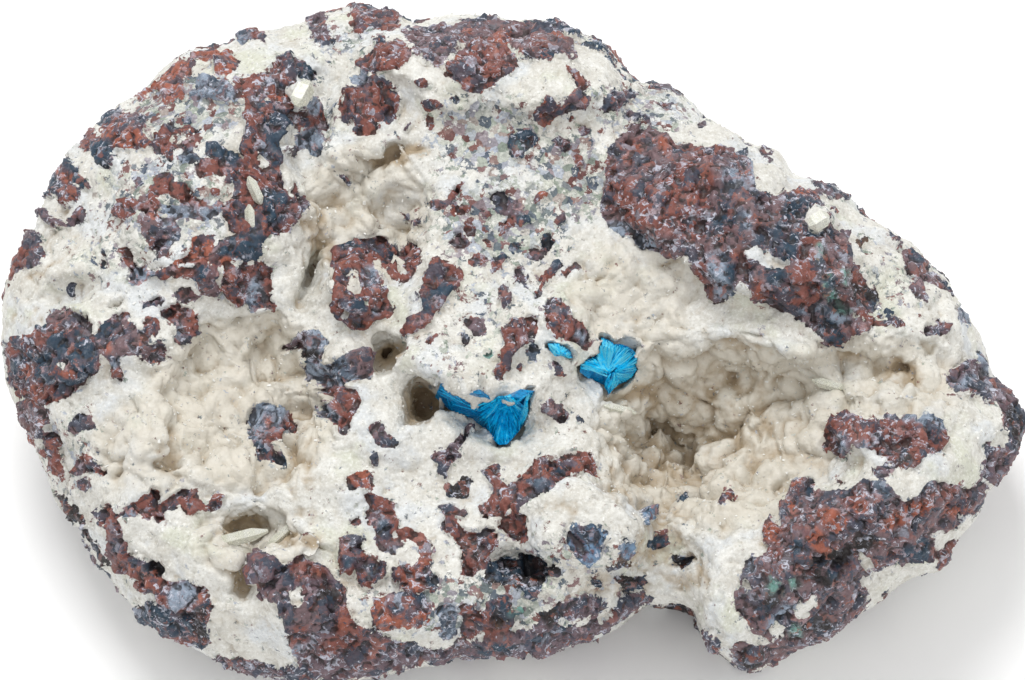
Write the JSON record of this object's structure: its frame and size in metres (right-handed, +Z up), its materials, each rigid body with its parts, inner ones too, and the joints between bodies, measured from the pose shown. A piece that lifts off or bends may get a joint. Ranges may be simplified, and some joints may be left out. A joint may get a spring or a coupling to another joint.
{
  "type": "cavansite specimen",
  "caption": "Hand-sized lump of red basalt breccia cemented and lined by cream zeolite druse, with sprays of azure cavansite in its pockets.",
  "frame": {"origin": "middle of the underside of the specimen's box, on the surface that it rests on", "axes": "+X along the specimen's length, to the right as the crystal face is seen; -Y to the side that the face leans towards; +Z up"},
  "size_m": [0.0903, 0.0674, 0.0322],
  "materials": {
    "breccia": "rough, matt, red-brown and blue-black clasts in cream cement",
    "zeolite_druse": "sugary, glittering, slightly translucent cream crystals",
    "cavansite": "vitreous, radiating azure crystals"
  },
  "bodies": {
    "root": {"breccia_matrix": "breccia", "right_vug_druse": "zeolite_druse", "upper_basin_druse": "zeolite_druse", "left_basin_druse": "zeolite_druse", "blade_hollow_druse": "zeolite_druse", "cavansite_left": "cavansite", "cavansite_right": "cavansite", "cavansite_sliver": "cavansite"}
  },
  "joints": []
}
